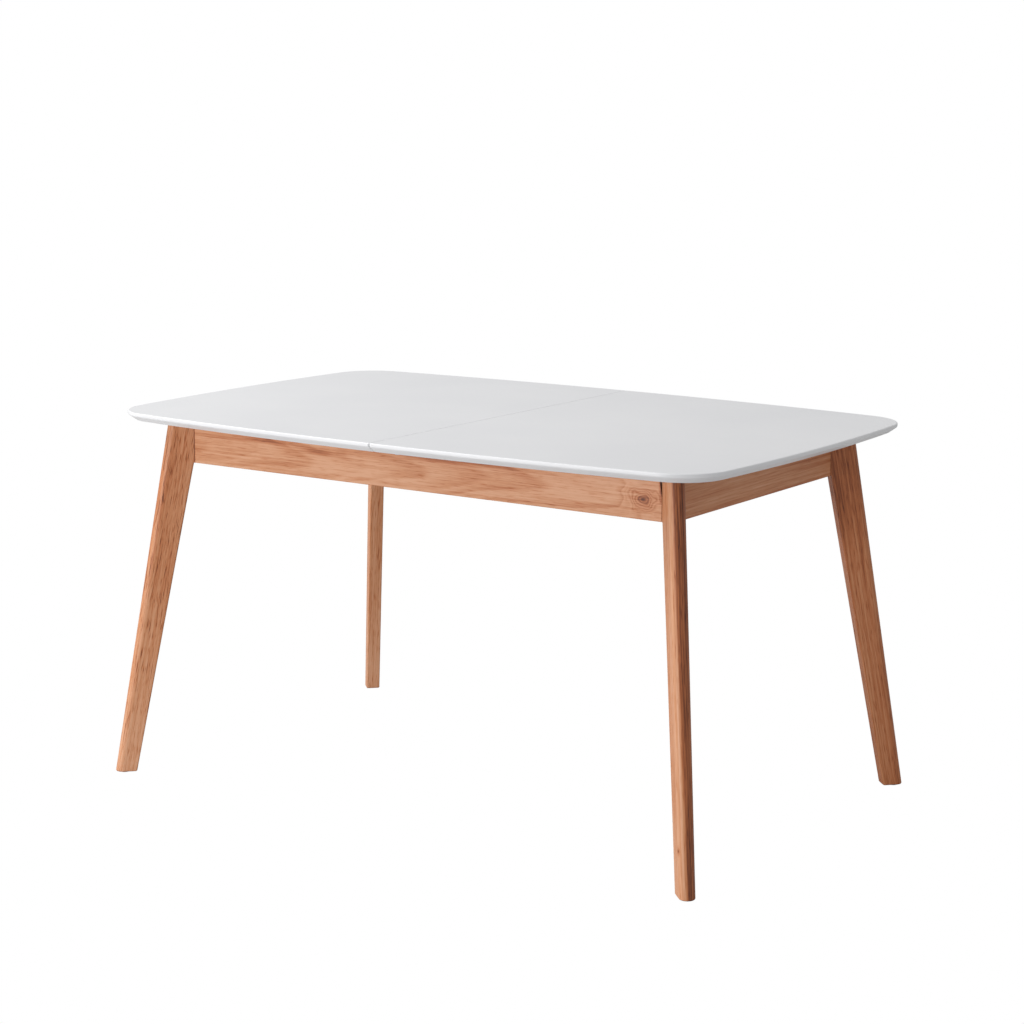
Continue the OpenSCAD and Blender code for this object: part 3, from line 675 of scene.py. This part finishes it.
def build_legs():
    looks = {
        # The front right leg's side that faces away from the lamps is darkened as painted shade
        ("front", "right"): dict(pith=(0.020, 0.070), lean=0.010, tone_and_shade=0.04, seed=3.1, figure=0.20,
                                 painted_side_shade=(-0.0030, -0.011, 0.57), knots=((0.085, 0.012, 0.004),)),
        ("front", "left"): dict(pith=(-0.030, 0.080), lean=0.010, tone_and_shade=0.03, seed=7.7, figure=0.12,
                                flecks=0.60, streaks_and_shade=((0.43, -0.01, 0.17, 0.08, 0.28),
                                                      (0.66, -0.01, 0.12, 0.08, 0.22))),
        # Painted shade: the back right leg stands in the shade of the top, so its whole board is darkened
        # and its upper part more so
        ("back", "right"): dict(pith=(0.000, 0.060), lean=-0.010, tone_and_shade=0.36, seed=12.4, figure=0.16,
                                flecks=0.30, streaks_and_shade=((0.64, 0.0, 0.14, 0.10, 0.16),)),
        ("back", "left"): dict(pith=(0.020, 0.100), lean=0.020, tone_and_shade=0.06, seed=18.9, figure=0.20,
                               flecks=0.40),
    }
    for (depth, side), look in looks.items():
        sx = 1 if side == "right" else -1
        sy = 1 if depth == "back" else -1
        name = f"leg_{depth}_{side}"
        up, out = leg_axis(sx, sy)
        foot = FOOT_REACH * math.sqrt(0.5)
        origin = (sx * (foot + LEG_LINE / 2), sy * (foot - LEG_LINE / 2), 0)
        wood = oiled_wood("wood_" + name, origin, up, out, **look)
        piece = leg(name + "_turned", sx, sy, wood)
        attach(piece, "frame")
        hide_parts(name)


def joint_shade_line(end, darkness):
    """Painted shade along a joint: the last millimetres of an apron at end, over its whole height,
    darkened.
    """
    return (math.copysign(abs(end) - 0.0014, end), 0, 0.0016, 0.5, darkness)


def build_aprons():
    middle = (APRON_Z + FRAME_Z) / 2
    long_end = APRON_HI.y + LEG_LINE - SIDE_SHIFT
    short_end = END_X - LEG_LINE - SIDE_SHIFT
    # Painted shadow: a dark patch at the right end of the front apron stands in for the shade inside the
    # open joint by the leg
    open_joint_shadow = (long_end - 0.002, 0.030, 0.0035, 0.026, 1.2)
    short_joint_shades = (joint_shade_line(-short_end, 0.50), joint_shade_line(short_end, 0.50))
    boards = {
        "front": ((0, -APRON_HI.y, middle), (1, 0, 0),
                  dict(pith=(-0.004, 0.075), lean=0.035, seed=1.7, figure=0.22, tone_and_shade=0.03,
                       knots=((0.509, -0.006, 0.019),),
                       streaks_and_shade=((-0.36, 0.018, 0.11, 0.005, 0.44), (-0.225, 0.010, 0.05, 0.006, 0.46),
                                (-0.165, 0.011, 0.012, 0.008, 0.20), (0.10, 0.024, 0.16, 0.009, 0.40),
                                open_joint_shadow, joint_shade_line(-long_end, 0.75)))),
        "back": ((0, APRON_HI.y, middle), (1, 0, 0),
                 dict(pith=(0.015, 0.075), lean=-0.045, seed=31.3, knots=((-0.20, 0.015, 0.007),),
                      streaks_and_shade=(joint_shade_line(-long_end, 0.75), joint_shade_line(long_end, 0.75)))),
        # Painted shade: the right apron faces away from the lamps, so its whole board is darkened, and a
        # line along its lower edge is darkened too
        "right": ((END_X, 0, middle), (0, 1, 0),
                  dict(pith=(0.060, 0.150), lean=0.02, seed=43.9, figure=0.08, flecks=0.08, tone_and_shade=0.26,
                       streaks_and_shade=((0.0, -0.043, 0.60, 0.004, 0.20),) + short_joint_shades)),
        "left": ((-END_X, 0, middle), (0, 1, 0),
                 dict(pith=(-0.040, 0.090), lean=0.04, seed=57.2, streaks_and_shade=short_joint_shades)),
    }
    for name, (origin, along, look) in boards.items():
        wood = oiled_wood("wood_apron_" + name, origin, along, (0, 0, 1), **look)
        dress((f"apron_{name}",), wood, 0.0016)


def build_inside():
    along_x = plain_wood("plain_wood_x", (1, 0, 0), (0, 1, 0), 5.0)
    along_y = plain_wood("plain_wood_y", (0, 1, 0), (0, 0, 1), 9.0)
    zinc = zinc_steel()
    black = powder_steel()
    pale = moulded("pale_nylon", (0.66, 0.65, 0.60, 1), (0.58, 0.57, 0.52, 1), 0.45)
    dark = moulded("dark_nylon", (0.035, 0.036, 0.040, 1), (0.022, 0.022, 0.025, 1), 0.40)
    rubber = moulded("soft_rubber", (0.030, 0.030, 0.030, 1), (0.018, 0.018, 0.018, 1), 0.75)
    ends = ("front", "back")
    sides = ("left", "right")
    blocks = [f"corner_block_{end}_{side}" for end in ends for side in sides]
    battens = [f"batten_{side}_{end}" for end in ends for side in sides]
    rails = [f"rail_{side}_{end}" for end in ends for side in sides]
    cages = [f"ball_cage_{side}_{end}" for end in ends for side in sides]
    dress(blocks, along_y, 0.0012)
    dress(("cross_rail_left", "cross_rail_right"), along_y, 0.0012)
    dress(battens + ["mechanism_board", "rest_rails", "top_dowels", "leaf_dowels"], along_x, 0.0008)
    dress(rails + ["channel_front", "channel_back"], zinc, 0.0003)
    dress(cages, zinc)
    dress(("leg_bolts", "leg_washers", "leg_nuts", "frame_screws", "screws_left", "screws_right"), zinc)
    dress(("pinion_bolt", "rack_left", "rack_right"), zinc, 0.0002)
    dress(("latch_pivots", "latch_strikes", "leaf_hinges"), zinc, 0.0002)
    dress(("latch_hook_front", "latch_hook_back"), zinc, 0.0004)
    dress(("rack_bracket_left", "rack_bracket_right"), black, 0.0004)
    dress(("leaf_pivot_ears", "leaf_pivot_brackets"), black, 0.0004)
    dress(("rack_guides", "top_glides"), pale, 0.0005)
    dress(("pinion",), dark, 0.0002)
    dress(("leaf_rest_pads",), rubber, 0.0006)
    dress(("floor_glides",), pressed_felt(), 0.0004)


# ---- studio ----

def seen_as(tree, seen, lit):
    """One shader for the camera and another for the light that the scene bounces."""
    path = add(tree, "ShaderNodeLightPath")
    mix = add(tree, "ShaderNodeMixShader", {0: path.outputs["Is Camera Ray"], 1: lit, 2: seen})
    return mix.outputs[0]


def build_floor():
    """Plain floor, white to the camera and light grey to the table."""
    bm = bmesh.new()
    bmesh.ops.create_circle(bm, cap_ends=True, segments=96, radius=30.0)
    material, tree, shader = new_material("studio_floor")
    tree.nodes.remove(shader)
    white = add(tree, "ShaderNodeEmission", {"Color": (1, 1, 1, 1), "Strength": 1.0}).outputs[0]
    card = add(tree, "ShaderNodeBsdfDiffuse", {"Color": (FLOOR_GREY, FLOOR_GREY, FLOOR_GREY, 1)}).outputs[0]
    tree.links.new(seen_as(tree, white, card), tree.nodes["Material Output"].inputs["Surface"])
    make_object("studio_floor", bm, [material])


def area_light(name, position, target, size, power):
    light = bpy.data.lights.new(name, "AREA")
    light.shape = "RECTANGLE"
    light.size, light.size_y = size
    light.energy = power
    obj = bpy.data.objects.new(name, light)
    direction = Vector(target) - Vector(position)
    obj.location = position
    obj.rotation_euler = direction.to_track_quat("-Z", "Y").to_euler()
    bpy.context.scene.collection.objects.link(obj)


def build_world():
    """Room light that the table sees, behind a white that only the camera sees."""
    world = bpy.data.worlds.new("studio")
    bpy.context.scene.world = world
    world.use_nodes = True
    tree = world.node_tree
    lit = tree.nodes["Background"]
    lit.inputs["Color"].default_value = (1, 1, 1, 1)
    lit.inputs["Strength"].default_value = ROOM_GREY
    seen = add(tree, "ShaderNodeBackground", {"Color": (1, 1, 1, 1), "Strength": 1.0})
    mixed = seen_as(tree, seen.outputs[0], lit.outputs[0])
    tree.links.new(mixed, tree.nodes["World Output"].inputs["Surface"])


def build_camera():
    """Stands front right of the table, a little above the top."""
    level = Vector((-math.sin(CAMERA_AZIMUTH), math.cos(CAMERA_AZIMUTH), 0))
    forward = level * math.cos(CAMERA_PITCH) - Vector((0, 0, math.sin(CAMERA_PITCH)))
    right = Vector((math.cos(CAMERA_AZIMUTH), math.sin(CAMERA_AZIMUTH), 0))
    up = right.cross(forward)
    tilted_right = right * math.cos(CAMERA_ROLL) + up * math.sin(CAMERA_ROLL)
    tilted_up = up * math.cos(CAMERA_ROLL) - right * math.sin(CAMERA_ROLL)
    basis = Matrix((tilted_right, tilted_up, -forward)).transposed().to_4x4()
    camera = bpy.data.cameras.new("camera")
    camera.lens = CAMERA_LENS
    camera.sensor_width = 36.0
    obj = bpy.data.objects.new("camera", camera)
    obj.matrix_world = Matrix.Translation(CAMERA_AT) @ basis
    bpy.context.scene.collection.objects.link(obj)
    bpy.context.scene.camera = obj


bpy.context.scene.view_settings.view_transform = "Standard"
build_camera()
build_tops()
build_legs()
build_aprons()
build_inside()
build_floor()
build_world()
for setting in LIGHTS:
    area_light(*setting)
